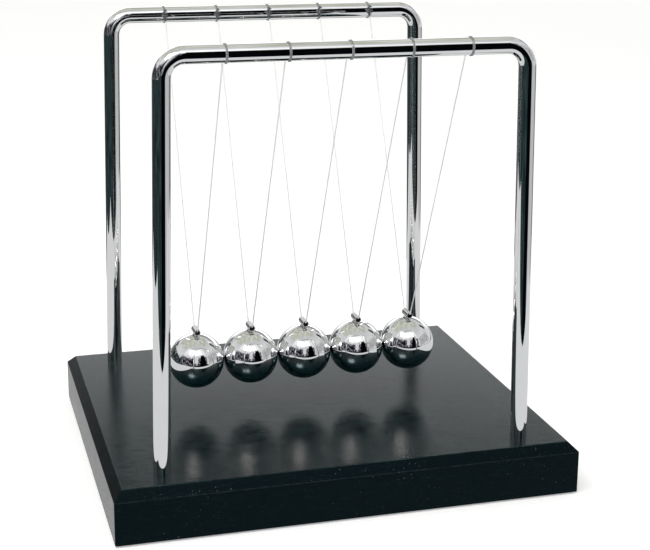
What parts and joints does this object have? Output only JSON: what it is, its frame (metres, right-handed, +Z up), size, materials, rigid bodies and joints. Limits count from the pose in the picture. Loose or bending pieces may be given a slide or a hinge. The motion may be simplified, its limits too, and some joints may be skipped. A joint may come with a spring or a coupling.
{
  "type": "newtons cradle",
  "caption": "Desk toy: steel balls hung in a row on V-shaped nylon lines between a front and a rear bent chromed rod that stand in a black lacquered base board with a bevelled top edge.",
  "frame": {"origin": "on the surface that the felt pads rest on, under the middle of the base board", "axes": "+X along the row of balls and both top bars, +Y from the front rod to the rear rod, +Z up"},
  "size_m": [0.178, 0.152, 0.176],
  "materials": {
    "black_lacquer": "satin black lacquer on a wood-fibre board",
    "black_felt": "short felt",
    "chromed_rod": "bright chrome plating",
    "polished_ball": "mirror-polished steel",
    "eyelet_steel": "plain steel, lightly polished",
    "nylon_line": "clear nylon monofilament",
    "zinc_plated_steel": "bright zinc plating"
  },
  "bodies": {
    "stand": {"base": "black_lacquer", "felt_pads": "black_felt", "front_rod": "chromed_rod", "rear_rod": "chromed_rod", "rod_screws": "zinc_plated_steel", "rod_washers": "zinc_plated_steel", "front_loop_1": "nylon_line", "rear_loop_1": "nylon_line", "front_loop_2": "nylon_line", "rear_loop_2": "nylon_line", "front_loop_3": "nylon_line", "rear_loop_3": "nylon_line", "front_loop_4": "nylon_line", "rear_loop_4": "nylon_line", "front_loop_5": "nylon_line", "rear_loop_5": "nylon_line"},
    "pendulum_1": {"ball_1": "polished_ball", "eyelet_1": "eyelet_steel", "line_1": "nylon_line"},
    "pendulum_2": {"ball_2": "polished_ball", "eyelet_2": "eyelet_steel", "line_2": "nylon_line"},
    "pendulum_3": {"ball_3": "polished_ball", "eyelet_3": "eyelet_steel", "line_3": "nylon_line"},
    "pendulum_4": {"ball_4": "polished_ball", "eyelet_4": "eyelet_steel", "line_4": "nylon_line"},
    "pendulum_5": {"ball_5": "polished_ball", "eyelet_5": "eyelet_steel", "line_5": "nylon_line"}
  },
  "joints": [
    {"name": "ball_1_swing", "type": "hinge", "parent": "stand", "child": "pendulum_1", "pos_m": [-0.0447, 0, 0.16955], "axis": [0, -1, 0], "range_deg": [-60, 0]},
    {"name": "ball_2_swing", "type": "hinge", "parent": "stand", "child": "pendulum_2", "pos_m": [-0.02235, 0, 0.16955], "axis": [0, -1, 0], "range_deg": [-0.02, 0.02]},
    {"name": "ball_3_swing", "type": "hinge", "parent": "stand", "child": "pendulum_3", "pos_m": [0, 0, 0.16955], "axis": [0, -1, 0], "range_deg": [-0.02, 0.02]},
    {"name": "ball_4_swing", "type": "hinge", "parent": "stand", "child": "pendulum_4", "pos_m": [0.02235, 0, 0.16955], "axis": [0, -1, 0], "range_deg": [-0.02, 0.02]},
    {"name": "ball_5_swing", "type": "hinge", "parent": "stand", "child": "pendulum_5", "pos_m": [0.0447, 0, 0.16955], "axis": [0, -1, 0], "range_deg": [0, 60]}
  ]
}
